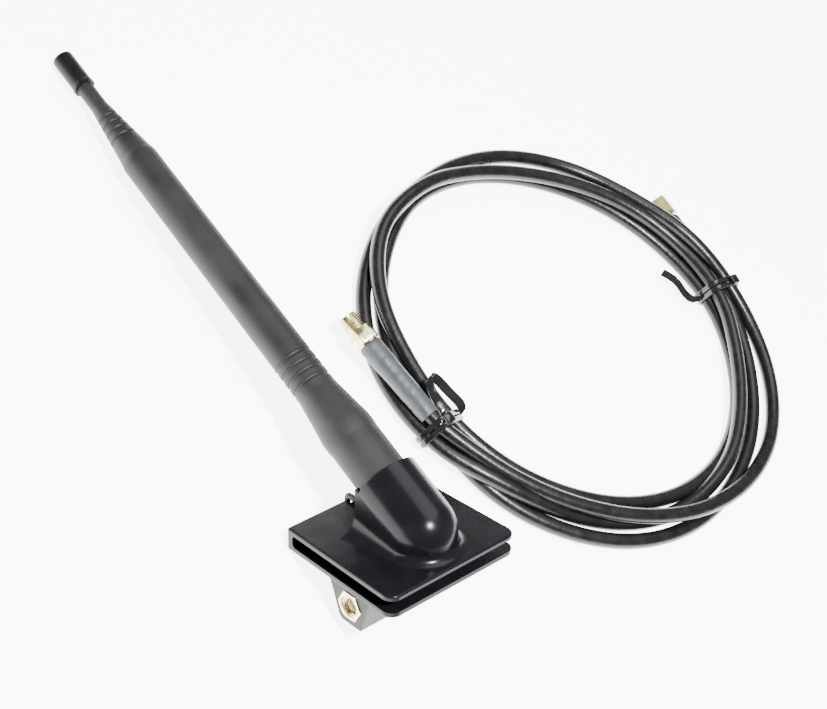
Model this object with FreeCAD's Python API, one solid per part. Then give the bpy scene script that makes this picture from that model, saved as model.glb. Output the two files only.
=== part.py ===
"""Window-clip cellular antenna with its coaxial extension lead.

A whip antenna stands in a hood on a U-shaped clip that slides over the edge of a car window.
A jack under the inner jaw takes the extension lead, which lies coiled beside the antenna, held
by two ties.  The antenna lies on its side as it does on a table: the whip's tip and the lower
edge of the clip's spine touch the ground, z = 0.

Three frames are used, all in millimetres:
  axis frame   z runs along a round part's own axis (the whip, the jack, a connector)
  clip frame   x from the spine to the mouth, y across, z from the inner jaw to the outer jaw
  row frame    the frame of the files: origin under the middle of the antenna, +Z up
"""
import FreeCAD
import Part
import os
from math import asin, atan2, cos, degrees, hypot, pi, radians, sin

Vec = FreeCAD.Vector
os.makedirs("parts", exist_ok=True)

# ---------------------------------------------------------------- driving dimensions
CLIP_DEPTH = 44.0          # spine to mouth
CLIP_WIDTH = 45.4          # at the spine
MOUTH_WIDTH = 47.6         # the sides open out a little towards the mouth
CLIP_HEIGHT = 7.0          # both jaws and the slot
OUTER_JAW = 1.5
INNER_JAW = 1.7
SPINE = 2.4
MOUTH_CORNER = 3.4         # corner radius seen from above
SPINE_CORNER = 0.8
EDGE_ROUND = 0.6
TIP_ROUND = 0.8            # edge of the whip's cap

WHIP_ANGLE = 29.0          # whip axis above the jaws
WHIP_FOOT = 39.0           # where the whip axis meets the outer face, from the spine
WHIP_TIP = 198.6           # from that point to the tip
COLLAR_FOOT = 18.4         # whip's lower end, on the same axis
COLLAR_R = 7.7
SHOULDER_R = 7.95
BODY_LOW_R = 6.05
BODY_HIGH_R = 5.7
NECK_R = 2.65
CAP_R = 3.3

HOOD_R = 10.0
HOOD_RIM = 27.0
HOOD_BACK = 14.0           # where its side walls start, from the spine
HOOD_FOOT = 2.9            # concave fillet between hood and jaw round the domed end
HOOD_FLARE = 5.6           # the same fillet at the back of the hood, where it is widest
HOOD_DOME = 9.8            # centre of the domed end
HOOD_WALL = 1.8
BORE_R = 8.4
BORE_FLOOR = 16.8
BULKHEAD = 12.5            # rear face of the wall that holds the base jack

JACK_FLATS = 8.0           # hexagon of the lead's jack
HOUSING_FACE = -22.5       # end face of the connector housing
JACK_AT = (26.3, -5.4)     # its axis, from the spine and from the inner jaw's face
JACK_BORE_R = 3.2
BARREL_R = 3.17            # threaded barrel that screws into that bore
NUT_FLATS = 8.0

CORD_R = 2.475             # 4.95 mm coaxial cable
PIGTAIL_R = 0.9
COIL_CENTRE = (-21.0, 111.0)    # from the middle of the spine's resting edge
COIL_STEP = 20.0                # degrees between the points below
COIL_START = -80.0
# Radius and height of the cord's centre line every COIL_STEP degrees, turn after turn.
COIL_TURNS = [
    (70.8, 8.8), (66.6, 7.6), (65.4, 7.2), (67.1, 7.5), (70.6, 7.6), (74.3, 6.5),
    (78.5, 3.3), (80.0, 2.6), (76.9, 6.6), (70.4, 12.0), (69.2, 8.4), (72.8, 3.5),
    (72.3, 3.5), (70.5, 6.0), (70.0, 7.5), (73.4, 5.0), (75.4, 2.6), (76.3, 2.6),
    (75.0, 4.6), (70.2, 7.4), (67.5, 3.0), (67.4, 2.6), (66.8, 2.7), (65.2, 7.0),
    (62.8, 7.3), (62.8, 7.3), (65.6, 8.4), (66.3, 6.7), (64.3, 7.2), (61.9, 7.4),
    (61.9, 7.5), (64.3, 9.0), (69.0, 12.4), (74.2, 10.3), (71.8, 7.8), (64.6, 3.8),
    (62.8, 3.7), (60.6, 2.6), (59.9, 2.6), (60.7, 2.6), (62.0, 2.6), (63.6, 2.6),
    (64.5, 2.6), (64.9, 2.6), (64.6, 3.7), (63.6, 2.6), (62.6, 2.6), (62.3, 2.6),
    (63.8, 2.6), (66.8, 2.6), (69.2, 2.6), (68.4, 2.6), (68.9, 2.6), (69.5, 2.6),
    (70.2, 3.7), (72.6, 2.6), (73.3, 2.6), (73.6, 2.6), (72.9, 2.6), (71.2, 2.6),
    (70.9, 2.6), (71.1, 2.6), (72.0, 3.7),
]
# Free ends of the lead: tip of the connector, its heading and its height.
END_A = (-54.1, 32.4, 9.0, 8.6)
END_B = (-53.3, 180.9, 4.8, 4.0)
BOOT_A_END = 39.6
BOOT_B_END = 29.0

# ---------------------------------------------------------------- frames
WHIP_SIN = sin(radians(WHIP_ANGLE))
WHIP_COS = cos(radians(WHIP_ANGLE))


def lying_tilt():
    """Tilt and lift that put the tip's edge and the spine's edge on the ground together."""
    spine = (EDGE_ROUND, EDGE_ROUND, EDGE_ROUND)
    along = WHIP_TIP - TIP_ROUND
    inward = CAP_R - TIP_ROUND
    tip = (WHIP_FOOT - along * WHIP_COS - inward * WHIP_SIN,
           CLIP_HEIGHT + along * WHIP_SIN - inward * WHIP_COS, TIP_ROUND)
    run, rise, spare = (tip[k] - spine[k] for k in range(3))
    tilt = pi - asin(spare / hypot(run, rise)) - atan2(rise, run)
    lift = spine[2] - spine[0] * sin(tilt) - spine[1] * cos(tilt)
    return degrees(tilt), lift


TILT, LIFT = lying_tilt()
TILTED = FreeCAD.Rotation(Vec(0, 1, 0), -TILT)


def reach(x, z):
    """Distance along the row's X of a point of the clip frame, before centring."""
    return TILTED.multVec(Vec(x, 0, z)).x


def ends_along_x():
    """Left end of the whip's tip and right end of the clip's mouth, before centring."""
    rim = WHIP_TIP - TIP_ROUND
    across = CAP_R - TIP_ROUND
    rim_x = WHIP_FOOT - rim * WHIP_COS + across * WHIP_SIN
    rim_z = CLIP_HEIGHT + rim * WHIP_SIN + across * WHIP_COS
    mouth = reach(CLIP_DEPTH - EDGE_ROUND, EDGE_ROUND) + EDGE_ROUND
    return reach(rim_x, rim_z) - TIP_ROUND, mouth


MIDDLE_X = sum(ends_along_x()) / 2


def frame_at(origin, direction):
    return FreeCAD.Placement(Vec(*origin), FreeCAD.Rotation(Vec(0, 0, 1), Vec(*direction)))


IN_ROW = FreeCAD.Placement(Vec(-MIDDLE_X, 0, LIFT), TILTED)
ON_TABLE = FreeCAD.Placement(Vec(-MIDDLE_X, 0, 0), FreeCAD.Rotation())
WHIP_AXIS = frame_at((WHIP_FOOT, 0, CLIP_HEIGHT), (-WHIP_COS, 0, WHIP_SIN))
JACK_AXIS = frame_at((JACK_AT[0], HOUSING_FACE, JACK_AT[1]), (0, 1, 0))


def lead_axis(end):
    heading = radians(end[3])
    return frame_at(end[:3], (cos(heading), sin(heading), 0))


# ---------------------------------------------------------------- shape helpers
def turned(outline):
    """Solid of revolution about z from a closed outline of (radius, z) points."""
    points = [Vec(r, 0, z) for r, z in outline]
    face = Part.Face(Part.makePolygon(points + [points[0]]))
    return face.revolve(Vec(0, 0, 0), Vec(0, 0, 1), 360)


def tube(outer, inner, low, high):
    return turned([(inner, low), (outer, low), (outer, high), (inner, high)])


def rod(radius, low, high):
    return Part.makeCylinder(radius, high - low, Vec(0, 0, low))


def hexagon(flats, low, high):
    corner = flats / 2 / cos(radians(30))
    points = [Vec(corner * cos(radians(60 * k)), corner * sin(radians(60 * k)), low)
              for k in range(7)]
    return Part.Face(Part.makePolygon(points)).extrude(Vec(0, 0, high - low))


def hex_nut(flats, inner, low, high, chamfer):
    """Hexagon with its corners turned down at both ends and a plain bore."""
    corner = flats / 2 / cos(radians(30)) + 0.01
    turned_down = turned([(0, low), (corner - chamfer, low), (corner, low + chamfer / 2),
                          (corner, high - chamfer / 2), (corner - chamfer, high), (0, high)])
    return hexagon(flats, low, high).common(turned_down).cut(rod(inner, low, high))


def box(x0, x1, y0, y1, z0, z1):
    return Part.makeBox(x1 - x0, y1 - y0, z1 - z0, Vec(x0, y0, z0))


def bent_rod(radius, points, bend):
    """Round rod along straight runs joined by arcs of the given bend radius."""
    corners = [Vec(*point) for point in points]
    edges = []
    last = corners[0]
    for before, corner, after in zip(corners, corners[1:], corners[2:]):
        arriving = (corner - before).normalize()
        leaving = (after - corner).normalize()
        half_turn = arriving.getAngle(leaving) / 2
        set_back = bend * sin(half_turn) / cos(half_turn)
        first = corner - arriving * set_back
        second = corner + leaving * set_back
        to_centre = (leaving - arriving).normalize()
        centre = corner + to_centre * (bend / cos(half_turn))
        middle = centre - to_centre * bend
        edges.append(Part.makeLine(last, first))
        edges.append(Part.Arc(first, middle, second).toShape())
        last = second
    edges.append(Part.makeLine(last, corners[-1]))
    ring = Part.Wire(Part.makeCircle(radius, corners[0], corners[1] - corners[0]))
    return Part.Wire(edges).makePipeShell([ring], True, True)


# ---------------------------------------------------------------- clip moulding
def rounded_plan(low, high):
    """The clip's outline from above as a prism, with its four corner radii."""
    spine, mouth = CLIP_WIDTH / 2, MOUTH_WIDTH / 2
    corners = [Vec(0, -spine, low), Vec(CLIP_DEPTH, -mouth, low), Vec(CLIP_DEPTH, mouth, low),
               Vec(0, spine, low)]
    plan = Part.Face(Part.makePolygon(corners + corners[:1])).extrude(Vec(0, 0, high - low))
    upright = [e for e in plan.Edges if abs(e.tangentAt(e.FirstParameter).z) > 0.9]
    at_mouth = [e for e in upright if e.CenterOfMass.x > CLIP_DEPTH / 2]
    plan = plan.makeFillet(MOUTH_CORNER, at_mouth)
    at_spine = [e for e in plan.Edges if abs(e.CenterOfMass.x) < 0.01
                and abs(e.tangentAt(e.FirstParameter).z) > 0.9]
    return plan.makeFillet(SPINE_CORNER, at_spine)


def clip_jaws():
    """U of two flat jaws and a spine, its outer rims rounded."""
    plan = rounded_plan(0, CLIP_HEIGHT)
    rims = [e for e in plan.Edges if abs(e.CenterOfMass.z - CLIP_HEIGHT) < 0.01
            or abs(e.CenterOfMass.z) < 0.01]
    plan = plan.makeFillet(EDGE_ROUND, rims)
    slot_round = 1.2
    slot = box(SPINE, CLIP_DEPTH + 1, -CLIP_WIDTH, CLIP_WIDTH, INNER_JAW,
               CLIP_HEIGHT - OUTER_JAW)
    root = [e for e in slot.Edges if abs(e.CenterOfMass.x - SPINE) < 0.01
            and abs(e.tangentAt(e.FirstParameter).y) > 0.9]
    return plan.cut(slot.makeFillet(slot_round, root))


def hood():
    """Domed tube round the foot of the whip, with upright walls from its widest line down."""
    curve = Outline(0, HOOD_DOME - HOOD_R)
    diagonal = HOOD_R * sin(radians(45))
    curve.arc(diagonal, HOOD_DOME - diagonal, HOOD_R, HOOD_DOME)
    curve.line(HOOD_R, HOOD_RIM)
    curve.line(0, HOOD_RIM)
    seam_aside = FreeCAD.Placement(Vec(), FreeCAD.Rotation(Vec(0, 0, 1), 90))
    barrel = placed(curve.turned(), seam_aside, WHIP_AXIS)
    low = CLIP_HEIGHT - 1.0
    dome_x = WHIP_FOOT - HOOD_DOME * WHIP_COS
    dome_z = CLIP_HEIGHT + HOOD_DOME * WHIP_SIN
    nose = Part.makeCylinder(HOOD_R, dome_z - low, Vec(dome_x, 0, low))
    rise = WHIP_SIN / WHIP_COS
    back_z = dome_z + (dome_x - HOOD_BACK) * rise
    walls = prism([(HOOD_BACK, low), (dome_x, low), (dome_x, dome_z), (HOOD_BACK, back_z)],
                  -HOOD_R, HOOD_R)
    mass = barrel.multiFuse([nose, walls])
    above = box(-5, CLIP_DEPTH + 5, -30, 30, low, 60)
    return mass.common(above).removeSplitter()


def foot_section(radius):
    """Wire round the concave fillet of this radius at the foot of the hood's wall."""
    inner = HOOD_R - 0.5
    toe = HOOD_R + radius
    hollow = radius * (1 - cos(radians(45)))
    corners = [Vec(toe, 0, 0), Vec(toe, 0, -0.4), Vec(inner, 0, -0.4), Vec(inner, 0, radius),
               Vec(HOOD_R, 0, radius)]
    edges = [Part.makeLine(p, q) for p, q in zip(corners, corners[1:])]
    middle = Vec(HOOD_R + hollow, 0, hollow)
    edges.append(Part.Arc(corners[-1], middle, corners[0]).toShape())
    wire = Part.Wire(edges)
    wire.rotate(Vec(0, 0, 0), Vec(0, 0, 1), -90)
    return wire


def hood_foot():
    """Concave fillet between the hood's upright walls and the jaw, widest at the back."""
    dome_x = WHIP_FOOT - HOOD_DOME * WHIP_COS
    front = foot_section(HOOD_FOOT)
    round_nose = Part.Face(front).revolve(Vec(0, 0, 0), Vec(0, 0, 1), 180)
    back = foot_section(HOOD_FLARE)
    back.translate(Vec(HOOD_BACK - dome_x, 0, 0))
    side = Part.makeLoft([back, front], True, True)
    other = side.copy().mirror(Vec(0, 0, 0), Vec(0, 1, 0))
    foot = round_nose.fuse([side, other])
    return placed(foot, FreeCAD.Placement(Vec(dome_x, 0, CLIP_HEIGHT), FreeCAD.Rotation()))


def hood_on_jaws():
    """Clip and hood in one piece."""
    return clip_jaws().fuse([hood(), hood_foot()]).removeSplitter()


def pigtail_channels():
    """Room for the pigtail: under the hood, out of the jaw, round the spine, under the jaw."""
    half = PIGTAIL_R + 0.1
    slot_face = CLIP_HEIGHT - OUTER_JAW
    return [box(9.0, 21.0, -half, half, slot_face - 0.1, CLIP_HEIGHT + 0.45),
            box(20.6, 30.0, -half, half, slot_face - 0.1, CLIP_HEIGHT + 1.0),
            box(5.2, 9.1, -half, half, slot_face - 0.1, CLIP_HEIGHT + 0.9),
            box(-1.0, NOTCH_DEPTH, -NOTCH_HALF, NOTCH_HALF, NOTCH_FLOOR, CLIP_HEIGHT + 1.0),
            box(-1.0, -0.3, -half, half, 2.0, CLIP_HEIGHT),
            box(2.6, 20.5, -half, half, -1.0, 1.1),
            bent_rod(PIGTAIL_R + 0.06, pigtail_route()[6:11], PIGTAIL_BEND)]


def make_clip_body():
    body = hood_on_jaws()
    bore = rod(BORE_R, BORE_FLOOR, HOOD_RIM + 30)
    jack_hole = rod(4.0, BULKHEAD - 1, BORE_FLOOR + 1)
    inside = Part.makeSphere(HOOD_R - HOOD_WALL, Vec(0, 0, HOOD_DOME))
    inside = inside.cut(Part.makeCylinder(30, 30, Vec(0, 0, BULKHEAD)))
    cutters = [placed(cutter, WHIP_AXIS) for cutter in (bore, jack_hole, inside)]
    cutters.append(cover_disc(0.05))
    return body.cut(cutters + pigtail_channels()).removeSplitter()


COVER_R = 7.4
COVER_THICK = 0.6
COVER_AT = WHIP_FOOT - HOOD_DOME * WHIP_COS


def cover_disc(spare):
    """Lid in the slot face that closes the hood from below."""
    low = CLIP_HEIGHT - OUTER_JAW
    return Part.makeCylinder(COVER_R + spare, COVER_THICK + spare, Vec(COVER_AT, 0, low))


# ---------------------------------------------------------------- connector housing
def make_housing():
    """Hollow tapered boss under the inner jaw with a hexagonal seat in its end wall."""
    front = HOUSING_FACE
    back = 8.0
    wall = 1.3
    outline = [(18.0, 0), (20.2, -5.4), (22.0, -10.2), (23.2, -11.2), (31.0, -11.4), (34.2, 0)]
    inner = [(19.6, 0.1), (21.4, -4.9), (23.1, -9.7), (30.2, -9.9), (32.7, 0.1)]
    boss = prism(outline, front, back)
    rounds = [e for e in boss.Edges if abs(e.tangentAt(e.FirstParameter).y) > 0.9
              and e.CenterOfMass.z < -8]
    boss = boss.makeFillet(0.9, rounds)
    seat_depth = 7.0
    boss = boss.cut(prism(inner, front + seat_depth, back - wall))
    seat = placed(hexagon(JACK_FLATS + 0.1, -1.0, seat_depth + 1.0), JACK_AXIS)
    entry = box(17.0, 22.5, -1.1, 2.4, -3.0, 0.2)
    return boss.cut([seat, entry])


def prism(outline, y0, y1):
    points = [Vec(x, y0, z) for x, z in outline]
    face = Part.Face(Part.makePolygon(points + [points[0]]))
    return face.extrude(Vec(0, y1 - y0, 0))


# ---------------------------------------------------------------- lead's jack in the housing
def make_jack():
    bore_depth = 5.8
    face = -0.3
    shell = hex_nut(JACK_FLATS, 0.5, face, 6.5, 0.4)
    shell = shell.fuse([rod(3.0, 6.4, 11.0), rod(1.6, 10.9, 13.0)])
    shell = shell.cut([rod(JACK_BORE_R, face - 1, bore_depth), rod(2.62, 5.7, 8.5),
                       rod(2.03, 8.4, 10.5), rod(0.95, 10.4, 14.0)])
    sleeve = tube(2.6, 2.03, 1.0, 8.5).cut(box(0.5, 4.0, -0.25, 0.25, 0.0, 4.0))
    insulator = tube(2.0, 0.47, 2.4, 10.4)
    pin = tapered_pin(0.45, 1.5, 12.5)
    return shell, sleeve, insulator, pin


def tapered_pin(radius, low, high):
    """Pin with a pointed lower end."""
    return turned([(0, low), (radius * 0.4, low), (radius, low + radius * 1.4), (radius, high),
                   (0, high)])


# ---------------------------------------------------------------- base jack under the whip
def make_base_jack():
    shell = turned([(0.95, 8.0), (1.9, 8.0), (1.9, 9.5), (3.95, 9.5), (3.95, BORE_FLOOR),
                    (6.6, BORE_FLOOR), (6.6, 18.0), (5.0, 18.0), (5.0, 25.6), (4.6, 26.0),
                    (2.1, 26.0), (2.1, 10.0), (0.95, 10.0)])
    insulator = tube(2.07, 0.68, 10.1, 25.2)
    contact = rod(0.65, 9.0, 25.0).cut(rod(0.3, 20.0, 26.0))
    nut = hex_nut(9.0, 4.0, 10.4, 11.7, 0.5)
    nut.rotate(Vec(0, 0, 0), Vec(0, 0, 1), 30)
    washer = tube(5.2, 4.05, 11.75, 12.45)
    return shell, insulator, contact, nut, washer


NOTCH_DEPTH = 2.3
NOTCH_HALF = 1.4
NOTCH_FLOOR = 5.0
PIGTAIL_BEND = 1.0


def pigtail_route():
    """Corners of the thin coax from the base jack, round the spine, to the lead's jack."""
    jack_x, jack_z = JACK_AT
    jack_rear = HOUSING_FACE + 13.05
    turn_x = WHIP_FOOT - 5.3 * WHIP_COS
    return [tuple(WHIP_AXIS.multVec(Vec(0, 0, 7.95))), tuple(WHIP_AXIS.multVec(Vec(0, 0, 5.3))),
            (turn_x, 0, 7.05), (21.9, 0, 7.05), (20.2, 0, 6.45), (8.9, 0, 6.45),
            (6.2, 0, 7.95), (-0.35, 0, 7.95), (-0.35, 0, 3.6), (1.2, 0, 1.35), (3.2, 0, 0.1),
            (18.9, 0, 0.1), (23.2, 2.0, -4.0), (jack_x, 1.2, jack_z),
            (jack_x, jack_rear, jack_z)]


def make_pigtail():
    return bent_rod(PIGTAIL_R, pigtail_route(), PIGTAIL_BEND)


def make_ferrules():
    at_base = placed(tube(1.6, 0.95, 6.1, 7.9), WHIP_AXIS)
    at_jack = placed(tube(1.6, 0.95, 13.2, 17.0), JACK_AXIS)
    return Part.makeCompound([at_base, at_jack])


# ---------------------------------------------------------------- whip
GROOVE_PITCH = 2.95
LOWER_GROOVE = 62.4
UPPER_GROOVE = 162.0
GROOVE_R = 0.75
RING_COUNT = 4
NECK_TOP = 190.3
CONE_FOOT = 153.4
CONE_TOP = 176.0


def make_sheath():
    """Rubber over the whole whip: collar, shoulder, body, cone and neck."""
    curve = Outline(6.33, COLLAR_FOOT)
    curve.line(COLLAR_R - 0.5, COLLAR_FOOT)
    curve.arc(COLLAR_R - 0.15, COLLAR_FOOT + 0.15, COLLAR_R, COLLAR_FOOT + 0.5)
    curve.line(COLLAR_R, 41.5)
    curve.arc(SHOULDER_R - 0.05, 45.0, SHOULDER_R - 0.5, 48.8)
    curve.line(BODY_LOW_R + 0.25, 57.8)
    curve.arc(BODY_LOW_R + 0.04, 59.3, BODY_LOW_R, 61.0)
    curve.line(BODY_HIGH_R, CONE_FOOT - 2.0)
    curve.arc(BODY_HIGH_R - 0.06, CONE_FOOT, BODY_HIGH_R - 0.45, CONE_FOOT + 1.8)
    curve.line(NECK_R + 0.3, CONE_TOP - 1.5)
    curve.arc(NECK_R + 0.07, CONE_TOP, NECK_R, CONE_TOP + 2.0)
    curve.line(NECK_R, NECK_TOP)
    for r, z in [(1.25, NECK_TOP), (1.25, 150.0), (3.6, 150.0), (3.6, 28.6), (6.33, 28.6)]:
        curve.line(r, z)
    sheath = curve.turned()
    rings = []
    for k in range(RING_COUNT):
        z = LOWER_GROOVE + k * GROOVE_PITCH
        rings.append(Part.makeTorus(BODY_LOW_R + 0.25, GROOVE_R, Vec(0, 0, z)))
        z = UPPER_GROOVE + k * GROOVE_PITCH
        slope = (NECK_R - BODY_HIGH_R) / (CONE_TOP - CONE_FOOT)
        radius = BODY_HIGH_R + slope * (z - CONE_FOOT)
        rings.append(Part.makeTorus(radius + 0.25, GROOVE_R, Vec(0, 0, z)))
    return sheath.cut(rings)


class Outline:
    """Closed outline in the (radius, z) plane made of lines and arcs."""

    def __init__(self, r, z):
        self.start = Vec(r, 0, z)
        self.last = self.start
        self.edges = []

    def line(self, r, z):
        end = Vec(r, 0, z)
        self.edges.append(Part.makeLine(self.last, end))
        self.last = end

    def arc(self, r_mid, z_mid, r, z):
        end = Vec(r, 0, z)
        self.edges.append(Part.Arc(self.last, Vec(r_mid, 0, z_mid), end).toShape())
        self.last = end

    def turned(self):
        if self.last.distanceToPoint(self.start) > 1e-6:
            self.line(self.start.x, self.start.z)
        face = Part.Face(Part.Wire(self.edges))
        return face.revolve(Vec(0, 0, 0), Vec(0, 0, 1), 360)


def make_whip_fittings():
    nut = turned([(5.06, COLLAR_FOOT), (6.3, COLLAR_FOOT), (6.3, 28.5), (2.1, 28.5),
                  (2.1, 26.4), (5.06, 26.4)])
    insulator = tube(2.07, 0.28, 26.45, 31.0)
    pin = tapered_pin(0.26, 21.0, 33.0)
    radiator = rod(1.2, 33.05, 188.0)
    sleeve = tube(3.5, 3.1, 31.2, 101.0)
    spacers = Part.makeCompound([tube(3.05, 1.25, z, z + 3.0) for z in (36.0, 66.0, 96.0)])
    return nut, insulator, pin, radiator, sleeve, spacers


def make_tip_cap():
    cap = turned([(NECK_R + 0.03, 185.1), (CAP_R + 0.15, 185.1), (CAP_R + 0.15, 186.2),
                  (CAP_R, 186.5), (CAP_R, WHIP_TIP), (0, WHIP_TIP), (0, 190.4),
                  (NECK_R + 0.03, 190.4)])
    rim = [e for e in cap.Edges if abs(e.CenterOfMass.z - WHIP_TIP) < 0.01 and e.Length > 1]
    return cap.makeFillet(TIP_ROUND, rim)


# ---------------------------------------------------------------- extension lead
def placed(shape, *placements):
    shape = shape.copy()
    for placement in placements:
        shape.Placement = placement.multiply(shape.Placement)
    return shape


def make_connector_a():
    """Socket end: threaded barrel, hexagonal shoulder, crimp ferrule and shrink boot."""
    body = tube(BARREL_R, 2.65, 0.0, 2.2).fuse([
        tube(BARREL_R, 2.05, 2.1, 5.7), hex_nut(7.5, 2.05, 5.6, 10.4, 0.4),
        tube(3.3, 1.0, 10.3, 10.9), tube(2.0, 1.0, 10.8, 14.1)])
    insulator = tube(2.02, 0.67, 1.8, 10.25)
    contact = rod(0.64, 0.9, 11.0).cut(rod(0.48, 0.0, 4.0))
    ferrule = tube(2.95, 2.52, 11.0, 18.1)
    boot = turned([(2.99, 11.0), (3.6, 11.0), (3.7, 12.1), (3.65, 18.6), (3.5, 22.1),
                   (3.3, BOOT_A_END), (2.52, BOOT_A_END), (2.52, 18.2), (2.99, 18.2)])
    return body, insulator, contact, ferrule, boot


def make_connector_b():
    """Pin end: coupling nut that spins on the body, sealing ring, ferrule and shrink boot."""
    nut = hex_nut(NUT_FLATS, 2.72, 0.0, 7.6, 0.5).cut(rod(3.2, -1.0, 5.6))
    body = turned([(2.05, 0.8), (2.3, 0.8), (2.3, 3.9), (3.1, 3.9), (3.1, 5.4), (2.65, 5.4),
                   (2.65, 8.0), (3.1, 8.0), (3.1, 11.0), (2.0, 11.0), (2.0, 14.0),
                   (1.0, 14.0), (1.0, 10.4), (2.05, 10.4)])
    gasket = tube(3.05, 2.33, 3.0, 3.85)
    insulator = tube(2.02, 0.48, 1.6, 10.3)
    pin = tapered_pin(0.46, 0.3, 12.0)
    ferrule = tube(2.95, 2.52, 11.1, 18.0)
    boot = turned([(3.12, 8.3), (3.75, 8.3), (3.75, 17.0), (3.2, 22.0), (3.05, BOOT_B_END),
                   (2.52, BOOT_B_END), (2.52, 18.1), (2.99, 18.1), (2.99, 11.1), (3.12, 11.1)])
    return nut, body, gasket, insulator, pin, ferrule, boot


CORD_START = 14.2          # where the cord begins inside a connector, from its front
INTO_COIL = 2.0            # how far a free end reaches into the coil's solid


def strands_at(angle):
    """Radius and height of every turn that crosses this angle."""
    found = []
    for k in range(len(COIL_TURNS) - 1):
        from_start = (angle - COIL_START - k * COIL_STEP) % 360
        if from_start < COIL_STEP:
            share = from_start / COIL_STEP
            r0, z0 = COIL_TURNS[k]
            r1, z1 = COIL_TURNS[k + 1]
            found.append((r0 + (r1 - r0) * share, z0 + (z1 - z0) * share))
    return found


def coil_section(angle):
    """Inner radius, outer radius, bottom and top of the bundle at this angle."""
    strands = strands_at(angle)
    inner = min(r for r, _ in strands) - CORD_R
    outer = max(r for r, _ in strands) + CORD_R
    bottom = max(min(z for _, z in strands) - CORD_R, 0.02)
    return inner, outer, bottom, max(z for _, z in strands) + CORD_R


def at_coil(angle, radius, z):
    turn = radians(angle)
    return Vec(COIL_CENTRE[0] + radius * cos(turn), COIL_CENTRE[1] + radius * sin(turn), z)


def make_coil():
    """One closed ring with the outer shape of the bundle of turns."""
    wires = []
    for angle in range(0, 360, 10):
        inner, outer, bottom, top = coil_section(angle)
        corners = [at_coil(angle, r, z)
                   for r, z in ((inner, bottom), (outer, bottom), (outer, top), (inner, top))]
        wires.append(Part.makePolygon(corners + [corners[0]]))
    ring = Part.makeLoft(wires, True, True, True)
    if ring.Volume < 0:
        ring.reverse()
    return ring


TIE_THICK = 0.8
TIE_WIDTH = 1.7
TIE_GAP = 0.4
TIE_SLACK = 0.15
# Where each tie sits, the free end of the cord that it also holds, and its tail's corners.
TIES = {
    "tie_front": (278.0, (71.4, 8.9),
                  [(-12.1, 47.4, 7.9), (-25.8, 46.0, 9.4), (-26.9, 49.0, 8.6),
                   (-17.5, 55.1, 6.2), (-13.4, 56.0, 3.2), (-10.8, 52.6, 1.2)]),
    "tie_rear": (84.0, (71.8, 4.0),
                 [(-14.4, 172.2, 4.0), (-16.4, 169.0, 2.4), (-27.1, 165.8, 4.6)]),
}


def hull(points):
    """Convex outline of flat points, anticlockwise."""
    chains = []
    for ordered in (sorted(points), sorted(points, reverse=True)):
        chain = []
        for point in ordered:
            while len(chain) > 1 and turns_right(chain[-2], chain[-1], point):
                chain.pop()
            chain.append(point)
        chains += chain[:-1]
    return chains


def turns_right(a, b, c):
    return (b[0] - a[0]) * (c[1] - a[1]) - (b[1] - a[1]) * (c[0] - a[0]) <= 1e-9


def tie_outline(angle, end, margin):
    """Outline round every strand that crosses the tie, in the (radius, z) plane."""
    radius = CORD_R + margin
    points = []
    for r, z in strands_at(angle) + [end]:
        for k in range(16):
            turn = radians(22.5 * k)
            points.append((round(r + radius * cos(turn), 4), round(z + radius * sin(turn), 4)))
    return hull(points)


def make_tie(angle, end, tail):
    """Two turns of flat tie drawn tight round the strands, with its free tail."""
    bands = []
    for side in (-1, 1):
        low = side * (TIE_WIDTH + TIE_GAP) / 2 - TIE_WIDTH / 2
        outer = prism(tie_outline(angle, end, TIE_SLACK + TIE_THICK), low, low + TIE_WIDTH)
        inner = prism(tie_outline(angle, end, TIE_SLACK), low - 1, low + TIE_WIDTH + 1)
        bands.append(outer.cut(inner))
    top = max(z for _, z in tie_outline(angle, end, TIE_SLACK + TIE_THICK))
    knot_r = max(r for r, z in tie_outline(angle, end, 0) if z > top - 4) - 3.5
    knot = box(knot_r - 1.8, knot_r + 1.8, -TIE_WIDTH, TIE_WIDTH, top - 1.0, top + 0.3)
    loop = bands[0].fuse([bands[1], knot])
    around = FreeCAD.Placement(at_coil(angle, 0, 0), FreeCAD.Rotation(Vec(0, 0, 1), angle))
    return placed(loop, around).fuse(bent_rod(0.5, tail, 0.8))


# ---------------------------------------------------------------- build
def save(name, shape, *placements):
    solid = placed(shape, *placements)
    solid.exportStep(f"parts/{name}.step")
    print(f"{name:22s} volume {solid.Volume:9.2f}  valid {solid.isValid()}"
          f"  solids {len(solid.Solids)}")


def build_clip():
    save("clip_body", make_clip_body(), IN_ROW)
    save("hood_floor_cover", cover_disc(0.0), IN_ROW)
    save("connector_housing", make_housing(), IN_ROW)
    jack_names = ("lead_jack_shell", "lead_jack_sleeve", "lead_jack_insulator", "lead_jack_pin")
    for name, shape in zip(jack_names, make_jack()):
        save(name, shape, JACK_AXIS, IN_ROW)
    base_names = ("base_jack_shell", "base_jack_insulator", "base_jack_contact",
                  "base_jack_nut", "base_jack_washer")
    for name, shape in zip(base_names, make_base_jack()):
        save(name, shape, WHIP_AXIS, IN_ROW)
    save("pigtail_coax", make_pigtail(), IN_ROW)
    save("pigtail_ferrules", make_ferrules(), IN_ROW)


def build_whip():
    save("whip_sheath", make_sheath(), WHIP_AXIS, IN_ROW)
    names = ("whip_coupling_nut", "whip_insulator", "whip_pin", "radiator_rod",
             "choke_sleeve", "sleeve_spacers")
    for name, shape in zip(names, make_whip_fittings()):
        save(name, shape, WHIP_AXIS, IN_ROW)
    save("tip_cap", make_tip_cap(), WHIP_AXIS, IN_ROW)


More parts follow.
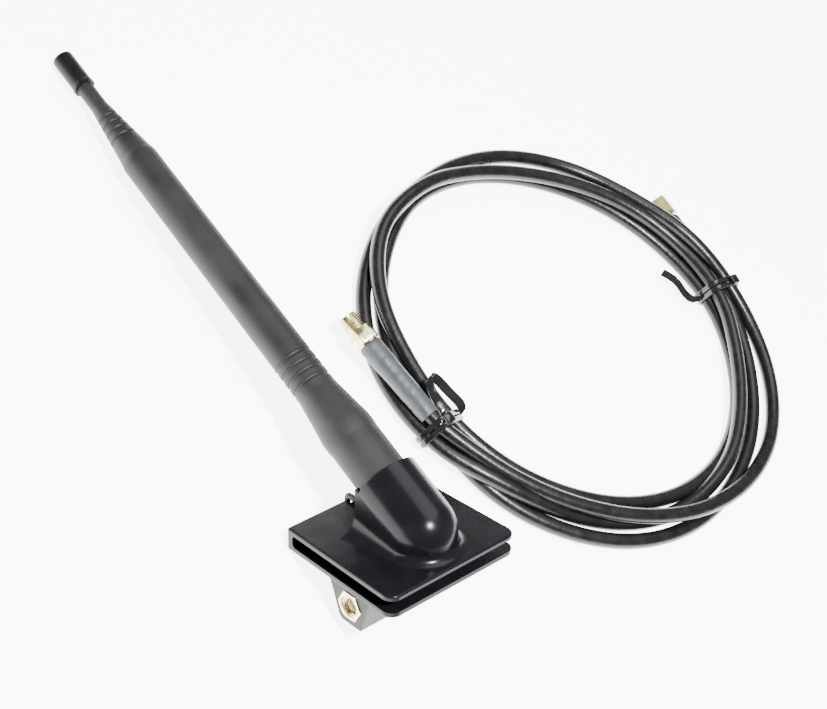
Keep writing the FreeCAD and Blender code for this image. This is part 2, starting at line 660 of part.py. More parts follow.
def build_lead():
    axis_a = lead_axis(END_A)
    axis_b = lead_axis(END_B)
    names = ("socket_body", "socket_insulator", "socket_contact", "socket_ferrule",
             "socket_boot")
    for name, shape in zip(names, make_connector_a()):
        save(name, shape, axis_a, ON_TABLE)
    names = ("plug_nut", "plug_body", "plug_gasket", "plug_insulator", "plug_pin",
             "plug_ferrule", "plug_boot")
    for name, shape in zip(names, make_connector_b()):
        save(name, shape, axis_b, ON_TABLE)
    ties = {name: make_tie(*facts) for name, facts in TIES.items()}
    room_a = placed(rod(3.8, -2.0, BOOT_A_END + 0.05).fuse(rod(4.7, -2.0, 11.0)), axis_a)
    room_b = placed(rod(3.8, -2.0, BOOT_B_END + 0.05).fuse(rod(4.9, -2.0, 8.0)), axis_b)
    coil = make_coil().cut([room_a, room_b] + list(ties.values()))
    save("cable_coil", coil, ON_TABLE)
    save("cable_end_socket", rod(CORD_R, CORD_START, BOOT_A_END + INTO_COIL), axis_a, ON_TABLE)
    save("cable_end_plug", rod(CORD_R, CORD_START, BOOT_B_END + INTO_COIL), axis_b, ON_TABLE)
    for name, tie in ties.items():
        save(name, tie, ON_TABLE)


build_clip()
build_whip()
build_lead()
print(f"tilt {TILT:.2f} degrees, lift {LIFT:.2f}, middle {MIDDLE_X:.2f}")
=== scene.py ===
from math import cos, radians, sin

import bpy
from mathutils import Matrix, Vector


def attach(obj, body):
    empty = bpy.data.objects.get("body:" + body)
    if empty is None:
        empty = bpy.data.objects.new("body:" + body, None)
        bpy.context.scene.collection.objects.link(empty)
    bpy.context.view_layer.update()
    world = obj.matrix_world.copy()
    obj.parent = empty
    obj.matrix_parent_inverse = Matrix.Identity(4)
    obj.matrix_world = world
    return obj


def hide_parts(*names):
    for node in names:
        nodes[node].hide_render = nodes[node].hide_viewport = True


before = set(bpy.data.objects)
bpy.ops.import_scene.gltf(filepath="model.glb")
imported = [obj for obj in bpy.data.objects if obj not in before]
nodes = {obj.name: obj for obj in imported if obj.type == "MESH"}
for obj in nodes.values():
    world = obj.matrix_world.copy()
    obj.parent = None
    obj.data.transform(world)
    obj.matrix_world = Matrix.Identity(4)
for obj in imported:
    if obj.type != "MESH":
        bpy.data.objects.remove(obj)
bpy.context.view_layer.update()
MM = 0.001

# ---------------------------------------- the table, the light and the viewing angle
# The antenna lies on a white table with its lead beside it, in a dim room.  The table glows with
# painted light, a pool brightest round the antenna, and shines in the sides of the black
# mouldings;
# one small lamp leaves sharp highlights on them.
CLIP_EDGE = 0.06741                 # the clip's resting edge, from the middle of the antenna
LOOK_AT = Vector((CLIP_EDGE - 0.0376, 0.0534, 0.0))
LOOK_FROM = 0.5175
AZIMUTH = radians(21.0)
ELEVATION = radians(49.2)
ROLL = radians(40.06)
LENS = 72.12
TABLE_SIDE = 6.0
TABLE_DROP = 0.0001                 # the table lies a hair below what stands on it
TABLE_GLOW = 6.2
GLOW_MIDDLE = (0.03, 0.10, 0.0)
GLOW_SPREAD = (0.28, 0.80)          # the table's painted glow is full to here, and fades to here
FAR_GLOW = 0.16                     # share of the glow that is left far from the antenna
SMALL_LAMP = ((0.235, -0.092, 0.70), (0.036, 0.036), 20.0)      # place, size and power
OVERHEAD_LAMP = ((-0.25, 0.30, 0.95), (0.7, 0.7), 8.0)
ROOM_GLOW = 0.45
WHITE = (1, 1, 1, 1)


def new_material(name, color, rough, metallic=0.0):
    finish = bpy.data.materials.new(name)
    finish.use_nodes = True
    shader = finish.node_tree.nodes["Principled BSDF"]
    shader.inputs["Base Color"].default_value = color
    shader.inputs["Roughness"].default_value = rough
    shader.inputs["Metallic"].default_value = metallic
    return finish, finish.node_tree, shader


def lay_table():
    bpy.ops.mesh.primitive_plane_add(size=TABLE_SIDE, location=(0, 0, -TABLE_DROP))
    table = bpy.context.object
    table.name = "table_top"
    sheet, tree, shader = new_material("white_table_painted_glow", (0.9, 0.9, 0.9, 1.0), 0.9)
    shader.inputs["Emission Color"].default_value = WHITE
    place = tree.nodes.new("ShaderNodeTexCoord")
    from_middle = tree.nodes.new("ShaderNodeVectorMath")
    from_middle.operation = "DISTANCE"
    from_middle.inputs[1].default_value = GLOW_MIDDLE
    # painted light: the table's glow is a pool, full round the antenna and fading away from it
    fade = tree.nodes.new("ShaderNodeMapRange")
    fade.interpolation_type = "SMOOTHSTEP"
    fade.inputs["From Min"].default_value, fade.inputs["From Max"].default_value = GLOW_SPREAD
    fade.inputs["To Min"].default_value = TABLE_GLOW
    fade.inputs["To Max"].default_value = TABLE_GLOW * FAR_GLOW
    tree.links.new(place.outputs["Object"], from_middle.inputs[0])
    tree.links.new(from_middle.outputs["Value"], fade.inputs["Value"])
    tree.links.new(fade.outputs["Result"], shader.inputs["Emission Strength"])
    table.data.materials.append(sheet)


def soft_box(name, place, size, power):
    """Square lamp that points at the middle of the object."""
    lamp = bpy.data.lights.new(name, "AREA")
    lamp.shape = "RECTANGLE"
    lamp.size, lamp.size_y = size
    lamp.energy = power
    holder = bpy.data.objects.new(name, lamp)
    holder.location = place
    holder.rotation_euler = (LOOK_AT - Vector(place)).to_track_quat("-Z", "Y").to_euler()
    bpy.context.scene.collection.objects.link(holder)


def set_camera():
    lens = bpy.data.cameras.new("viewing_camera")
    lens.lens = LENS
    lens.sensor_width = 36.0
    lens.clip_start = 0.01
    camera = bpy.data.objects.new("viewing_camera", lens)
    back = Vector((sin(AZIMUTH) * cos(ELEVATION), -cos(AZIMUTH) * cos(ELEVATION), sin(ELEVATION)))
    level = Vector((cos(AZIMUTH), sin(AZIMUTH), 0))
    upright = back.cross(level)
    right = level * cos(ROLL) + upright * sin(ROLL)
    up = back.cross(right)
    turn = Matrix((right, up, back)).transposed().to_4x4()
    camera.matrix_world = Matrix.Translation(LOOK_AT + back * LOOK_FROM) @ turn
    bpy.context.scene.collection.objects.link(camera)
    bpy.context.scene.camera = camera


def light_room():
    soft_box("small_lamp", *SMALL_LAMP)
    soft_box("overhead", *OVERHEAD_LAMP)
    room = bpy.data.worlds.new("dim_room")
    room.use_nodes = True
    backdrop = room.node_tree.nodes["Background"]
    backdrop.inputs["Color"].default_value = WHITE
    backdrop.inputs["Strength"].default_value = ROOM_GLOW
    bpy.context.scene.world = room


lay_table()
set_camera()
light_room()

# ---------------------------------------- the lead's cord
# A 4.95 mm coaxial cable in a black jacket, wound in three and a half loose turns.  It leaves the
# socket's boot, goes round and under itself, and ends in the plug's boot on the far side.
CORD_ACROSS = 4.95
CORD_THICK = CORD_ACROSS * MM
COIL_CENTRE = (-21.0, 111.0)
COIL_START = -80.0
COIL_STEP = 20.0                    # degrees from one (radius, height) of the coil to the next
OUTSIDE_THE_CURVE = 1.0153          # a smooth line runs this much inside its own points
COIL_TURNS = [
    (70.8, 8.8), (66.6, 7.6), (65.4, 7.2), (67.1, 7.5), (70.6, 7.6), (74.3, 6.5),
    (78.5, 3.3), (79.6, 2.6), (74.6, 6.2), (67.6, 12.0), (67.4, 8.4), (72.2, 3.5),
    (72.3, 3.5), (70.5, 6.0), (70.0, 7.5), (73.4, 5.0), (75.4, 2.6), (76.3, 2.6),
    (75.0, 4.6), (70.2, 7.4), (67.5, 3.0), (67.4, 2.6), (66.8, 2.7), (65.2, 7.0),
    (62.8, 7.3), (62.8, 7.3), (65.6, 8.4), (66.3, 6.7), (64.3, 7.2), (61.9, 7.4),
    (61.9, 7.5), (64.3, 9.0), (69.0, 12.4), (74.2, 10.3), (71.8, 7.8), (64.6, 3.8),
    (62.8, 3.7), (60.6, 2.6), (59.9, 2.6), (60.7, 2.6), (62.0, 2.6), (63.6, 2.6),
    (64.5, 2.6), (64.9, 2.6), (64.6, 3.7), (63.6, 2.6), (62.6, 2.6), (62.3, 2.6),
    (63.8, 2.6), (66.8, 2.6), (69.2, 2.6), (68.4, 2.6), (68.9, 2.6), (69.5, 2.6),
    (70.2, 3.7), (72.6, 2.6), (73.3, 2.6), (73.6, 2.6), (72.9, 2.6), (71.2, 2.6),
    (70.9, 2.6), (71.1, 2.6), (72.0, 3.7),
]
SOCKET_END = (-54.1, 32.4, 9.0, 8.6)        # tip, height and heading
PLUG_END = (-53.3, 180.9, 4.8, 4.0)
CORD_START = 14.2                   # where the cord leaves the crimp, from either tip
SOCKET_RUN = (CORD_START, 25.0, 36.5)       # its straight run through each boot
PLUG_RUN = (31.0, 24.0, CORD_START)


def on_table(x, y, z):
    """Row-frame point, in metres, of a place given from the clip's resting edge in millimetres."""
    return Vector((x * MM + CLIP_EDGE, y * MM, z * MM))


def along_end(end, distance):
    heading = radians(end[3])
    return on_table(end[0] + distance * cos(heading), end[1] + distance * sin(heading), end[2])


def round_coil(angle, radius, z):
    turn = radians(angle)
    return on_table(COIL_CENTRE[0] + radius * cos(turn), COIL_CENTRE[1] + radius * sin(turn), z)


def cord_points():
    points = [along_end(SOCKET_END, distance) for distance in SOCKET_RUN]
    for step, (radius, z) in enumerate(COIL_TURNS):
        angle = COIL_START + step * COIL_STEP
        points.append(round_coil(angle, radius * OUTSIDE_THE_CURVE, z))
    points += [along_end(PLUG_END, distance) for distance in PLUG_RUN]
    return points


def make_cord():
    line = bpy.data.curves.new("lead_cord", "CURVE")
    line.dimensions = "3D"
    spline = line.splines.new("NURBS")
    points = cord_points()
    spline.points.add(len(points) - 1)
    for control, point in zip(spline.points, points):
        control.co = (*point, 1.0)
    spline.order_u = 3
    spline.use_endpoint_u = True
    spline.resolution_u = 12
    line.bevel_depth = CORD_THICK / 2
    line.bevel_resolution = 5
    line.use_fill_caps = True
    cord = bpy.data.objects.new("lead_cord", line)
    bpy.context.scene.collection.objects.link(cord)
    return cord


def mottled(name, dark, light, grain, rough, bump, metallic=0.0, shine=0.5):
    """Finish with an uneven colour, an uneven gloss and a fine raised grain.

    grain sets how small the patches are; rough holds the gloss's two ends; bump holds the raised
    grain's (fineness, strength, depth); shine is how much the finish reflects.
    """
    finish, tree, shader = new_material(name, light, rough[1], metallic)
    shader.inputs["Specular IOR Level"].default_value = shine
    place = tree.nodes.new("ShaderNodeTexCoord")
    patches = tree.nodes.new("ShaderNodeTexNoise")
    patches.inputs["Scale"].default_value = grain
    patches.inputs["Detail"].default_value = 5.0
    shade = tree.nodes.new("ShaderNodeValToRGB")
    low, high = shade.color_ramp.elements
    low.position, low.color = 0.32, dark
    high.position, high.color = 0.68, light
    gloss = tree.nodes.new("ShaderNodeMapRange")
    gloss.inputs["From Min"].default_value = 0.3
    gloss.inputs["From Max"].default_value = 0.7
    gloss.inputs["To Min"].default_value, gloss.inputs["To Max"].default_value = rough
    fine = tree.nodes.new("ShaderNodeTexNoise")
    fine.inputs["Scale"].default_value = bump[0]
    fine.inputs["Detail"].default_value = 4.0
    raised = tree.nodes.new("ShaderNodeBump")
    raised.inputs["Strength"].default_value = bump[1]
    raised.inputs["Distance"].default_value = bump[2]
    tree.links.new(place.outputs["Object"], patches.inputs["Vector"])
    tree.links.new(place.outputs["Object"], fine.inputs["Vector"])
    tree.links.new(patches.outputs["Fac"], shade.inputs["Fac"])
    tree.links.new(shade.outputs["Color"], shader.inputs["Base Color"])
    tree.links.new(patches.outputs["Fac"], gloss.inputs["Value"])
    tree.links.new(gloss.outputs["Result"], shader.inputs["Roughness"])
    tree.links.new(fine.outputs["Fac"], raised.inputs["Height"])
    tree.links.new(raised.outputs["Normal"], shader.inputs["Normal"])
    return finish


JACKET = mottled("cable_jacket", (0.003, 0.003, 0.003, 1), (0.006, 0.006, 0.0055, 1), 300.0,
                 (0.26, 0.36), (800.0, 0.35, 0.00022), shine=0.30)
cord = make_cord()
cord.data.materials.append(JACKET)
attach(cord, "clip")
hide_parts("cable_coil", "cable_end_socket", "cable_end_plug")

# ---------------------------------------- the clip, its hood and its lid
# One black moulding: two flat jaws that grip the window's edge, and the hood that the whip stands
# in.  It is shiny hard plastic with a trace of the mould's own texture.  A thin lid closes the
# hood from inside the slot.
CLIP_BLACK = mottled("clip_black", (0.003, 0.003, 0.004, 1), (0.005, 0.005, 0.0065, 1), 140.0,
                     (0.215, 0.24), (2600.0, 0.10, 0.00006), shine=0.15)


def dress(finish, *names):
    """Give a finish to parts that keep their own shape."""
    for name in names:
        slots = nodes[name].data.materials
        slots.clear()
        slots.append(finish)


dress(CLIP_BLACK, "clip_body", "hood_floor_cover")

# ---------------------------------------- the connector housing
# The hollow boss under the inner jaw that holds the lead's jack.  It is a separate moulding of the
# clip's black plastic, glued under the jaw, with a duller finish; its colour is painted greyer
# than the clip's, a painted sheen for the light that its faces catch.
HOUSING_PAINTED_LIT_GREY = mottled("housing_plastic_painted_lit", (0.008, 0.0085, 0.0095, 1), (0.013, 0.0135, 0.015, 1),
                       220.0, (0.40, 0.48), (1900.0, 0.18, 0.0001), shine=0.2)
dress(HOUSING_PAINTED_LIT_GREY, "connector_housing")

# ---------------------------------------- the jack in the housing
# A hexagonal gold-plated jack pressed into the housing, with a fine internal thread, a slotted
# spring sleeve, a white insulator and a centre pin.
GOLD = mottled("gold_plate", (0.50, 0.41, 0.21, 1), (0.86, 0.76, 0.47, 1), 420.0,
               (0.14, 0.28), (1500.0, 0.12, 0.00006), 1.0)
WHITE_INSULATOR = mottled("white_insulator", (0.74, 0.73, 0.69, 1), (0.86, 0.85, 0.82, 1), 500.0,
                          (0.35, 0.5), (1600.0, 0.1, 0.00005))
CLIP_TILT = radians(36.3265)
CLIP_LIFT = -0.2388
JACK_AT = (26.3, -22.5, -5.4)       # middle of its face: from the spine, across, from the jaw
JACK_THREAD_R = 3.19
JACK_THREAD = (0.3, 5.0)            # from the face of the jack inwards
THREAD_PITCH = 0.7
THREAD_ROOT = 0.12                  # how far a ridge is sunk into its wall
SEAM = 0.002 * MM                   # points nearer than this are one


def in_clip(x, y, z):
    """Row-frame point, in metres, of a place given on the clip in millimetres."""
    return on_table(x * cos(CLIP_TILT) - z * sin(CLIP_TILT), y,
                    x * sin(CLIP_TILT) + z * cos(CLIP_TILT) + CLIP_LIFT)


def select_only(piece):
    bpy.ops.object.select_all(action="DESELECT")
    piece.select_set(True)
    bpy.context.view_layer.objects.active = piece


def settle(piece, origin, heading):
    """Turn a piece made round the upright axis to its heading and set it down at its origin."""
    turn = Vector((0, 0, 1)).rotation_difference(Vector(heading)).to_matrix().to_4x4()
    piece.matrix_world = Matrix.Translation(origin) @ turn @ piece.matrix_world
    select_only(piece)
    bpy.ops.object.transform_apply(location=True, rotation=True, scale=True)


def start_chain(name, r, z):
    """One loose point from which an outline is drawn."""
    bpy.ops.object.select_all(action="DESELECT")
    bpy.ops.mesh.primitive_plane_add(size=0.2 * MM, location=(0, 0, 0))
    piece = bpy.context.object
    piece.name = name
    bpy.ops.object.mode_set(mode="EDIT")
    bpy.ops.mesh.select_all(action="SELECT")
    bpy.ops.mesh.merge(type="CENTER")
    bpy.ops.transform.translate(value=(r * MM, 0, z * MM))
    return piece


def draw_chain(outline):
    """Draw the rest of an outline of (radius, height) points by extruding the last one."""
    for (r0, z0), (r1, z1) in zip(outline, outline[1:]):
        step = ((r1 - r0) * MM, 0, (z1 - z0) * MM)
        bpy.ops.mesh.extrude_region_move(TRANSFORM_OT_translate={"value": step})


def close_up():
    """Merge doubled points and turn every face outwards, then leave edit mode."""
    bpy.ops.mesh.select_all(action="SELECT")
    bpy.ops.mesh.remove_doubles(threshold=SEAM)
    bpy.ops.mesh.normals_make_consistent(inside=False)
    bpy.ops.object.mode_set(mode="OBJECT")


def lathe(name, outline, steps=48):
    """Round piece from a closed outline of (radius, height) points in millimetres."""
    piece = start_chain(name, *outline[0])
    draw_chain(outline + outline[:1])
    bpy.ops.mesh.select_all(action="SELECT")
    bpy.ops.mesh.spin(steps=steps, angle=radians(360), center=(0, 0, 0), axis=(0, 0, 1))
    close_up()
    return piece


def apply_modifier(piece, kind, **settings):
    select_only(piece)
    modifier = piece.modifiers.new(kind.lower(), kind)
    for key, value in settings.items():
        setattr(modifier, key, value)
    bpy.ops.object.modifier_apply(modifier=modifier.name)


def screw_thread(name, radius, low, high, depth, inward):
    """Ridge of a screw thread wound round the upright axis, inside a bore or outside a barrel."""
    root = radius + THREAD_ROOT if inward else radius - THREAD_ROOT
    crest = radius - depth if inward else radius + depth
    half = THREAD_PITCH * 0.42
    outline = [(root, low - half), (crest, low), (root, low + half)]
    piece = start_chain(name, *outline[0])
    draw_chain(outline + outline[:1])
    close_up()
    turns = (high - low) / THREAD_PITCH
    steps = int(36 * turns)
    apply_modifier(piece, "SCREW", axis="Z", angle=radians(360) * turns,
                   screw_offset=(high - low) * MM, steps=steps, render_steps=steps)
    bpy.ops.object.mode_set(mode="EDIT")
    bpy.ops.mesh.select_all(action="SELECT")
    bpy.ops.mesh.remove_doubles(threshold=SEAM)
    bpy.ops.mesh.select_all(action="DESELECT")
    bpy.ops.mesh.select_non_manifold()
    bpy.ops.mesh.fill()
    close_up()
    return piece


def finish_piece(piece, finish, body, crisp=35.0):
    piece.data.materials.clear()
    piece.data.materials.append(finish)
    select_only(piece)
    bpy.ops.object.shade_smooth_by_angle(angle=radians(crisp))
    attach(piece, body)


dress(GOLD, "lead_jack_shell", "lead_jack_sleeve", "lead_jack_pin")
dress(WHITE_INSULATOR, "lead_jack_insulator")
jack_thread = screw_thread("lead_jack_thread", JACK_THREAD_R, *JACK_THREAD, 0.28, inward=True)
settle(jack_thread, in_clip(*JACK_AT), (0, 1, 0))
finish_piece(jack_thread, GOLD, "clip")

# ---------------------------------------- the whip's own jack and the thin coax
# Inside the hood: a bulkhead jack for the whip, clamped by a thin steel nut and washer.  A thin
# black coax runs from it round the clip's spine to the jack in the housing, crimped at both ends.
STEEL = mottled("nickel_steel", (0.38, 0.38, 0.38, 1), (0.62, 0.62, 0.60, 1), 500.0,
                (0.25, 0.4), (1800.0, 0.12, 0.00005), 1.0)
COAX_BLACK = mottled("thin_coax_jacket", (0.008, 0.008, 0.008, 1), (0.015, 0.015, 0.015, 1),
                     500.0, (0.45, 0.6), (1700.0, 0.2, 0.0001), shine=0.3)
dress(GOLD, "base_jack_shell", "base_jack_contact", "pigtail_ferrules")
dress(WHITE_INSULATOR, "base_jack_insulator")
dress(STEEL, "base_jack_nut", "base_jack_washer")
dress(COAX_BLACK, "pigtail_coax")

# ---------------------------------------- the whip
# A charcoal rubber sheath is moulded over the whole whip, with a knurl of four grooves above the
# collar and four below the neck.  It hides the radiator rod, its copper sleeve and the spacers.
WHIP_RUBBER = mottled("whip_rubber", (0.005, 0.005, 0.005, 1), (0.0125, 0.0125, 0.013, 1), 70.0,
                      (0.52, 0.70), (2200.0, 0.35, 0.00012), shine=0.30)
CAP_RUBBER = mottled("cap_rubber", (0.0025, 0.0025, 0.0025, 1), (0.005, 0.005, 0.005, 1), 160.0,
                     (0.40, 0.52), (2200.0, 0.18, 0.00008), shine=0.14)
COPPER = mottled("copper_sleeve", (0.55, 0.26, 0.14, 1), (0.80, 0.45, 0.28, 1), 260.0,
                 (0.22, 0.4), (1200.0, 0.1, 0.00005), 1.0)
dress(WHIP_RUBBER, "whip_sheath")
dress(CAP_RUBBER, "tip_cap")
dress(GOLD, "whip_coupling_nut", "whip_pin")
dress(STEEL, "radiator_rod")
dress(COPPER, "choke_sleeve")
dress(WHITE_INSULATOR, "whip_insulator", "sleeve_spacers")

# ---------------------------------------- the lead's socket end
# A gold-plated brass body turned in one piece: a threaded barrel, a hexagon for the spanner and
# a crimp neck.  Grey heat-shrink covers the crimp and a good length of the cord behind it.
SOCKET_FLATS = 7.5
SOCKET_BORE = 2.05
BARREL_ROOT = 2.92
BARREL_MOUTH = 2.65
BARREL_END = 5.6
HEX_END = 10.4
BOOT_BORE = 2.52                    # both boots, a little over the cord
SHRINK_GREY = mottled("grey_heat_shrink", (0.023, 0.027, 0.031, 1), (0.038, 0.044, 0.050, 1),
                      170.0, (0.42, 0.58), (900.0, 0.35, 0.00018))


def heading_of(end):
    return (cos(radians(end[3])), sin(radians(end[3])), 0)


def hexagon_head(name, flats, low, high, bore, chamfer):
    """Hexagon with turned-down corners and a bore right through it."""
    bpy.ops.object.select_all(action="DESELECT")
    corner = flats / 2 / cos(radians(30))
    bpy.ops.mesh.primitive_cylinder_add(vertices=6, radius=corner * MM, depth=(high - low) * MM,
                                        location=(0, 0, (low + high) / 2 * MM),
                                        rotation=(0, 0, radians(90)))
    piece = bpy.context.object
    piece.name = name
    bpy.ops.object.transform_apply(location=True, rotation=True, scale=True)
    turned_down = lathe("turning", [
        (0, low), (corner - chamfer, low), (corner + 0.01, low + chamfer / 2),
        (corner + 0.01, high - chamfer / 2), (corner - chamfer, high), (0, high)])
    apply_modifier(piece, "BOOLEAN", operation="INTERSECT", object=turned_down, solver="EXACT")
    bpy.data.objects.remove(turned_down)
    drill = lathe("drill", [(0, low - 1), (bore, low - 1), (bore, high + 1), (0, high + 1)])
    apply_modifier(piece, "BOOLEAN", operation="DIFFERENCE", object=drill, solver="EXACT")
    bpy.data.objects.remove(drill)
    apply_modifier(piece, "BEVEL", width=0.06 * MM, segments=2, limit_method="ANGLE",
                   angle_limit=radians(25))
    return piece


def weld(name, *pieces):
    """Join pieces into one."""
    select_only(pieces[0])
    for piece in pieces[1:]:
        piece.select_set(True)
    bpy.ops.object.join()
    pieces[0].name = name
    return pieces[0]


def shrink_boot(name, outline, inner, folds, first_fold):
    """Heat-shrink tube with the soft rings and dents that shrinking leaves in it."""
    rings = []
    for (r0, z0), (r1, z1) in zip(outline, outline[1:]):
        pieces = max(1, int((z1 - z0) / 0.8))
        for k in range(pieces):
            share = k / pieces
            wave = folds * sin(2.1 * (z0 + (z1 - z0) * share) + first_fold)
            rings.append((r0 + (r1 - r0) * share + wave, z0 + (z1 - z0) * share))
    rings.append(outline[-1])
    boot = lathe(name, rings + [(inner, outline[-1][1]), (inner, outline[0][1])])
    clouds = bpy.data.textures.new(name + "_dents", "CLOUDS")
    clouds.noise_scale = 3.2 * MM
    apply_modifier(boot, "SUBSURF", levels=1, render_levels=1)
    apply_modifier(boot, "DISPLACE", texture=clouds, strength=0.22 * MM, mid_level=0.55)
    bpy.data.textures.remove(clouds)
    return boot


barrel = lathe("socket_barrel", [
    (BARREL_MOUTH, 0.0), (BARREL_ROOT - 0.15, 0.0), (BARREL_ROOT + 0.1, 0.25),
    (BARREL_ROOT, 0.5), (BARREL_ROOT, 4.9), (2.7, 5.1), (2.7, BARREL_END + 0.1),
    (SOCKET_BORE, BARREL_END + 0.1), (SOCKET_BORE, 2.2), (BARREL_MOUTH, 2.2)])
barrel_thread = screw_thread("socket_thread", BARREL_ROOT, 0.55, 4.85, 0.25, inward=False)
socket_head = hexagon_head("socket_hexagon", SOCKET_FLATS, BARREL_END, HEX_END,
                            SOCKET_BORE, 0.4)
neck = lathe("socket_neck", [
    (3.3, HEX_END - 0.1), (3.3, 10.9), (2.0, 11.0), (2.0, CORD_START - 0.1),
    (1.0, CORD_START - 0.1), (1.0, HEX_END - 0.1)])
socket = weld("socket_body_threaded", barrel, barrel_thread, socket_head, neck)
settle(socket, along_end(SOCKET_END, 0), heading_of(SOCKET_END))
finish_piece(socket, GOLD, "clip")
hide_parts("socket_body")

socket_boot = shrink_boot("socket_boot_shrunk", [
    (3.30, 11.0), (3.62, 11.15), (3.72, 12.2), (3.68, 15.5), (3.66, 18.2), (3.45, 20.5),
    (3.42, 27.0), (3.30, 36.0), (3.16, 39.4), (2.95, 39.6)], BOOT_BORE, 0.035, 0.4)
settle(socket_boot, along_end(SOCKET_END, 0), heading_of(SOCKET_END))
finish_piece(socket_boot, SHRINK_GREY, "clip", 60.0)
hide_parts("socket_boot")

dress(GOLD, "socket_contact", "socket_ferrule")
dress(WHITE_INSULATOR, "socket_insulator")

# ---------------------------------------- the lead's plug end
# A coupling nut of gold-plated brass turns freely on the plug's body.  Inside it are the thread,
# a silicone sealing ring, the white insulator and the pin.  Black heat-shrink covers the crimp.
NUT_FLATS = 8.0
NUT_BORE = 3.2
NUT_END = 7.6
FLOOR_BORE = 2.72
SHRINK_BLACK = mottled("black_heat_shrink", (0.009, 0.009, 0.010, 1), (0.017, 0.017, 0.018, 1),
                       170.0, (0.34, 0.5), (900.0, 0.3, 0.00015))
# the nut's gold is set much darker than the other gold parts
NUT_DARKER_GOLD = mottled("nut_darker_gold_plate", (0.11, 0.09, 0.035, 1), (0.24, 0.205, 0.09, 1), 420.0,
                    (0.2, 0.36), (1500.0, 0.14, 0.00006), 1.0)
SEAL = mottled("silicone_seal", (0.24, 0.07, 0.05, 1), (0.36, 0.12, 0.08, 1), 700.0,
               (0.4, 0.55), (1500.0, 0.1, 0.00004))
nut_head = hexagon_head("nut_hexagon", NUT_FLATS, 0.0, NUT_END, NUT_BORE, 0.5)
nut_floor = lathe("nut_floor", [
    (FLOOR_BORE, 5.6), (3.3, 5.6), (3.3, NUT_END - 0.05), (FLOOR_BORE, NUT_END - 0.05)])
nut_thread = screw_thread("nut_thread", JACK_THREAD_R, 0.5, 2.6, 0.26, inward=True)
nut = weld("plug_nut_threaded", nut_head, nut_floor, nut_thread)
settle(nut, along_end(PLUG_END, 0), heading_of(PLUG_END))
finish_piece(nut, NUT_DARKER_GOLD, "coupling_nut")
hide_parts("plug_nut")

plug_boot = shrink_boot("plug_boot_shrunk", [
    (3.35, 8.3), (3.68, 8.45), (3.75, 9.5), (3.74, 17.0), (3.40, 19.5), (3.18, 22.0),
    (3.08, 28.8), (2.95, 29.0)], BOOT_BORE, 0.03, 1.3)
settle(plug_boot, along_end(PLUG_END, 0), heading_of(PLUG_END))
finish_piece(plug_boot, SHRINK_BLACK, "clip", 60.0)
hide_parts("plug_boot")
dress(GOLD, "plug_body", "plug_pin", "plug_ferrule")
dress(WHITE_INSULATOR, "plug_insulator")
dress(SEAL, "plug_gasket")

# ---------------------------------------- the two ties
# Flat glossy black ties of soft plastic.  Each is wound twice round the strands, drawn tight and
# knotted on top, and its free tail lies as it was bent.
TIE_BLACK = mottled("tie_black", (0.004, 0.004, 0.004, 1), (0.008, 0.008, 0.008, 1), 300.0,
                    (0.06, 0.14), (700.0, 0.15, 0.0001))
TIE_THICK = 0.8
TIE_WIDTH = 1.7
TIE_GAP = 0.4
TIE_SLACK = 0.15
TAIL_THICK = 0.6
CORD_R = CORD_ACROSS / 2
LUG_SIZE = (3.4 * MM, 3.4 * MM, 1.9 * MM)


def strands_at(angle):
    """Radius and height of every turn of the cord that crosses this angle."""
    found = []
    for k, ((r0, z0), (r1, z1)) in enumerate(zip(COIL_TURNS, COIL_TURNS[1:])):
        from_start = (angle - COIL_START - k * COIL_STEP) % 360
        if from_start < COIL_STEP:
            share = from_start / COIL_STEP
            found.append((r0 + (r1 - r0) * share, z0 + (z1 - z0) * share))
    return found


def turns_right(a, b, c):
    return (b[0] - a[0]) * (c[1] - a[1]) - (b[1] - a[1]) * (c[0] - a[0]) <= 1e-9


def drawn_round(strands, radius):
    """Line of a tie drawn tight round the strands, as (radius, height) points."""
    points = []
    for r, z in strands:
        for k in range(24):
            turn = radians(15 * k)
            points.append((round(r + radius * cos(turn), 4), round(z + radius * sin(turn), 4)))
    line = []
    for ordered in (sorted(points), sorted(points, reverse=True)):
        chain = []
        for point in ordered:
            while len(chain) > 1 and turns_right(chain[-2], chain[-1], point):
                chain.pop()
            chain.append(point)
        line += chain[:-1]
    return line


def strap(name, path, across, width, thick):
    """Flat strap through a row of points: an edge drawn out step by step, then thickened."""
    bpy.ops.object.select_all(action="DESELECT")
    bpy.ops.mesh.primitive_plane_add(size=1.0, location=(0, 0, 0))
    piece = bpy.context.object
    piece.name = name
    half = Vector(across).normalized() * (width / 2 * MM)
    first, second = Vector(path[0]), Vector(path[1])
    places = (first - half, first + half, second - half, second + half)
    for corner, place in zip(piece.data.vertices, places):
        corner.co = place
        corner.select = False
    bpy.ops.object.mode_set(mode="EDIT")
    bpy.ops.mesh.select_all(action="DESELECT")
    bpy.ops.object.mode_set(mode="OBJECT")
    for edge in piece.data.edges:
        edge.select = set(edge.vertices) == {2, 3}
    piece.data.vertices[2].select = True
    piece.data.vertices[3].select = True
    bpy.ops.object.mode_set(mode="EDIT")
    bpy.ops.mesh.select_mode(type="EDGE")
    for here, there in zip(path[1:], path[2:]):
        step = Vector(there) - Vector(here)
        bpy.ops.mesh.extrude_region_move(TRANSFORM_OT_translate={"value": step})
    bpy.ops.mesh.select_mode(type="VERT")
    close_up()
    apply_modifier(piece, "SOLIDIFY", thickness=thick * MM, offset=0.0, use_even_offset=True)
    apply_modifier(piece, "BEVEL", width=0.22 * MM, segments=3, limit_method="ANGLE",
                   angle_limit=radians(50))
    return piece


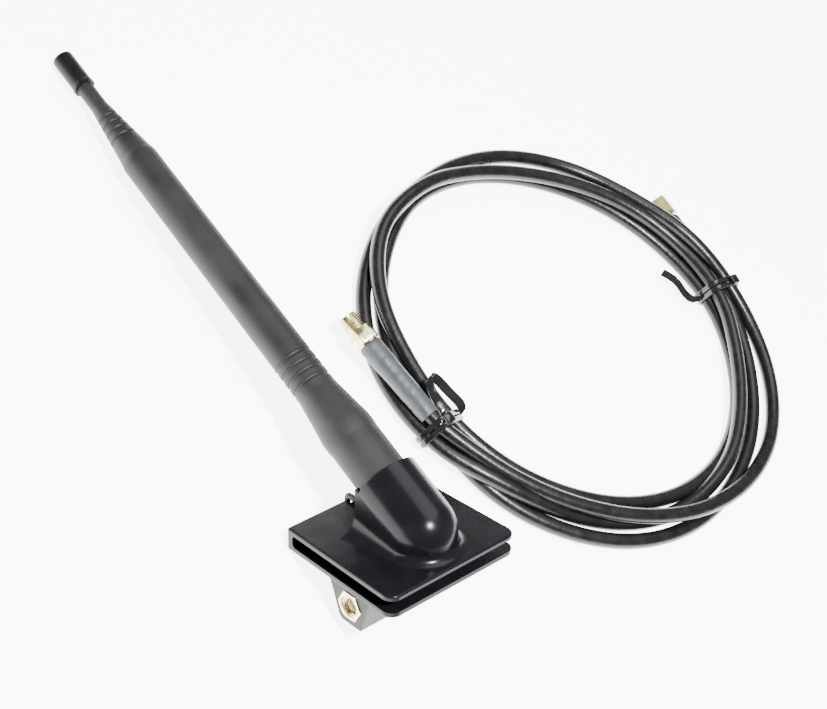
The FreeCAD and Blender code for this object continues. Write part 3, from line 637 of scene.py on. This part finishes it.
def smooth_path(points, steps=7):
    """Points of a soft line through the given places, as a tie's tail lies."""
    spots = [Vector(point) for point in points]
    spots = [spots[0] * 2 - spots[1]] + spots + [spots[-1] * 2 - spots[-2]]
    line = []
    for a, b, c, d in zip(spots, spots[1:], spots[2:], spots[3:]):
        for k in range(steps):
            t = k / steps
            line.append(0.5 * (2 * b + (c - a) * t + (2 * a - 5 * b + 4 * c - d) * t * t
                               + (3 * b - a - 3 * c + d) * t ** 3))
    line.append(spots[-2])
    return line


def knot(name, angle, r, z):
    """Little square lug that the tie's head makes, with worn corners."""
    bpy.ops.object.select_all(action="DESELECT")
    bpy.ops.mesh.primitive_cube_add(size=1.0, location=(0, 0, 0))
    lug = bpy.context.object
    lug.name = name
    lug.scale = LUG_SIZE
    lug.rotation_euler = (0, 0, radians(angle))
    lug.location = round_coil(angle, r, z)
    bpy.ops.object.transform_apply(location=True, rotation=True, scale=True)
    bpy.ops.object.mode_set(mode="EDIT")
    bpy.ops.mesh.select_all(action="SELECT")
    bpy.ops.mesh.bevel(offset=0.5 * MM, segments=3, affect="EDGES")
    close_up()
    return lug


def make_tie(name, angle, free_end, tail, tail_across, tail_width):
    """Two bands, a knot and a tail, joined.  free_end is the cord's end that it also holds."""
    turn = radians(angle)
    along_cord = Vector((-sin(turn), cos(turn), 0))
    strands = strands_at(angle) + [free_end]
    line = drawn_round(strands, CORD_R + TIE_SLACK + TIE_THICK / 2)
    middle = [round_coil(angle, r, z) for r, z in line]
    pieces = []
    for side in (-1, 1):
        shift = along_cord * (side * (TIE_WIDTH + TIE_GAP) / 2 * MM)
        path = [point + shift for point in middle + middle[:1]]
        pieces.append(strap(name, path, along_cord, TIE_WIDTH, TIE_THICK))
    top = max(z for r, z in line)
    knot_r = max(r for r, z in line if z > top - 4) - 3.2
    pieces.append(knot(name, angle, knot_r, top + 0.1))
    places = [on_table(*corner) for corner in tail]
    pieces.append(strap(name, smooth_path(places), tail_across, tail_width, TAIL_THICK))
    tie = weld(name, *pieces)
    finish_piece(tie, TIE_BLACK, "clip", 40.0)
    return tie


ACROSS_FRONT_TAIL = (-0.283, 0.856, 0.440)
ACROSS_REAR_TAIL = (0.35, -0.6, -0.72)
front_tie = make_tie("tie_front_strap", 278.0, (71.4, 8.9), [
    (-14.5, 43.5, 9.6), (-19.8, 43.0, 10.3), (-24.8, 44.3, 10.4), (-25.9, 46.6, 9.8),
    (-24.4, 48.4, 9.0), (-19.5, 50.7, 7.6), (-15.3, 53.0, 6.0), (-13.1, 53.2, 4.2),
    (-12.4, 50.9, 3.2)], ACROSS_FRONT_TAIL, 3.0)
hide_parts("tie_front")
rear_tie = make_tie("tie_rear_strap", 84.0, (71.8, 4.0), [
    (-13.8, 171.6, 4.6), (-15.0, 168.2, 4.0), (-17.9, 167.0, 3.8), (-22.7, 166.8, 4.0),
    (-25.6, 165.4, 4.2), (-28.2, 163.0, 4.6)], ACROSS_REAR_TAIL, 2.6)
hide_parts("tie_rear")
